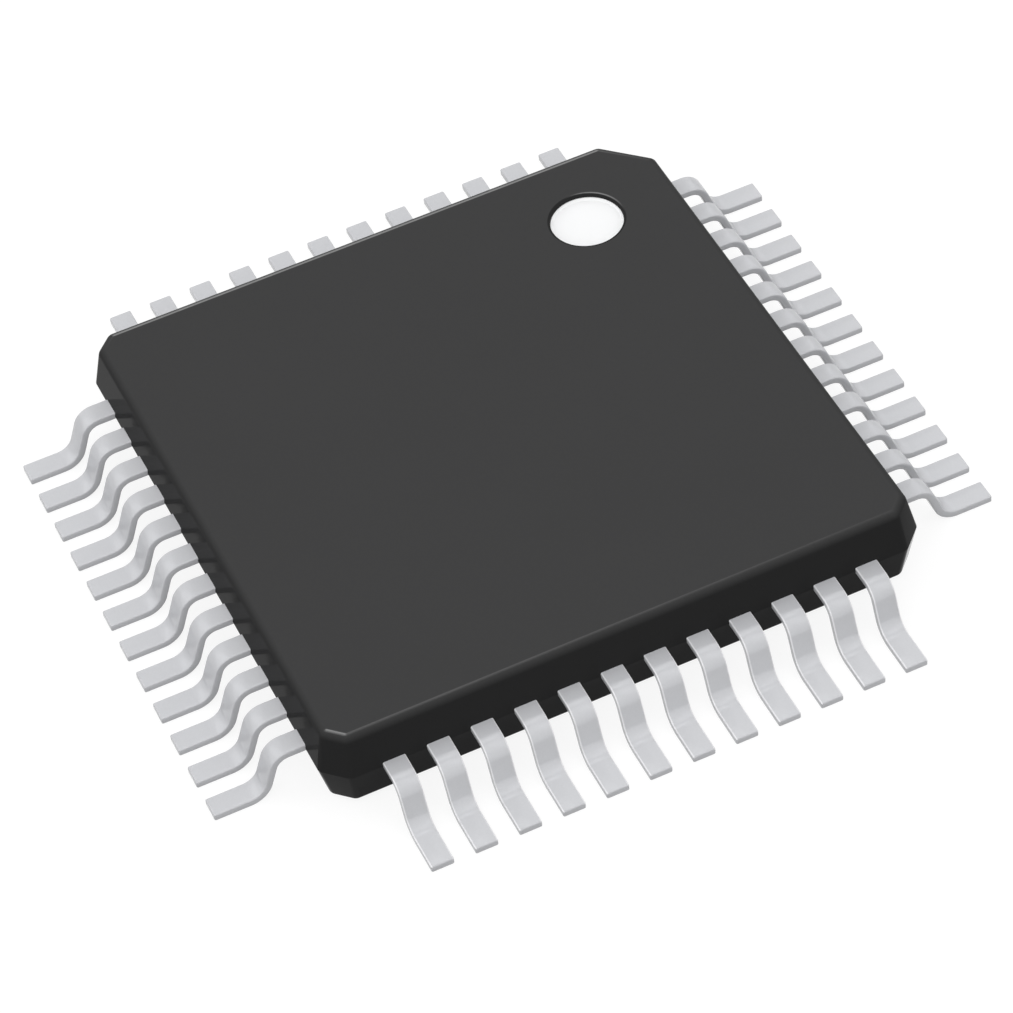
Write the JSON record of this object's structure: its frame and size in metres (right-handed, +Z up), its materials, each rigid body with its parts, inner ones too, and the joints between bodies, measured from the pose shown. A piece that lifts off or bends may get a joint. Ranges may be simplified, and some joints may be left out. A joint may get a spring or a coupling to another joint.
{
  "type": "thin quad flat pack integrated circuit",
  "caption": "Thin square surface-mount chip package with gull-wing leads on all four sides, a cut index corner and a white index dot.",
  "frame": {"origin": "middle of the seating plane, which the undersides of all solder feet lie in", "axes": "+Z up out of the marked top face, -X and +Y towards the index corner; the leads are numbered anticlockwise from that corner as seen from above, starting down the -X side"},
  "size_m": [0.0092, 0.0092, 0.001],
  "materials": {
    "mould_compound": "fine matt texture left by the mould, black filled epoxy",
    "dot_ink": "smooth white marking ink",
    "lead_plating": "matt tin plating on copper alloy",
    "frame_copper": "bare stamped copper alloy",
    "adhesive": "silver-filled epoxy",
    "silicon": "polished silicon with a sawn edge",
    "gold": "drawn gold wire"
  },
  "bodies": {
    "root": {"mould_body": "mould_compound", "index_dot": "dot_ink", "lead_01": "lead_plating", "lead_02": "lead_plating", "lead_03": "lead_plating", "lead_04": "lead_plating", "lead_05": "lead_plating", "lead_06": "lead_plating", "lead_07": "lead_plating", "lead_08": "lead_plating", "lead_09": "lead_plating", "lead_10": "lead_plating", "lead_11": "lead_plating", "lead_12": "lead_plating", "lead_13": "lead_plating", "lead_14": "lead_plating", "lead_15": "lead_plating", "lead_16": "lead_plating", "lead_17": "lead_plating", "lead_18": "lead_plating", "lead_19": "lead_plating", "lead_20": "lead_plating", "lead_21": "lead_plating", "lead_22": "lead_plating", "lead_23": "lead_plating", "lead_24": "lead_plating", "lead_25": "lead_plating", "lead_26": "lead_plating", "lead_27": "lead_plating", "lead_28": "lead_plating", "lead_29": "lead_plating", "lead_30": "lead_plating", "lead_31": "lead_plating", "lead_32": "lead_plating", "lead_33": "lead_plating", "lead_34": "lead_plating", "lead_35": "lead_plating", "lead_36": "lead_plating", "lead_37": "lead_plating", "lead_38": "lead_plating", "lead_39": "lead_plating", "lead_40": "lead_plating", "lead_41": "lead_plating", "lead_42": "lead_plating", "lead_43": "lead_plating", "lead_44": "lead_plating", "lead_45": "lead_plating", "lead_46": "lead_plating", "lead_47": "lead_plating", "lead_48": "lead_plating", "die_pad": "frame_copper", "die_adhesive": "adhesive", "silicon_die": "silicon", "bond_wires": "gold"}
  },
  "joints": []
}
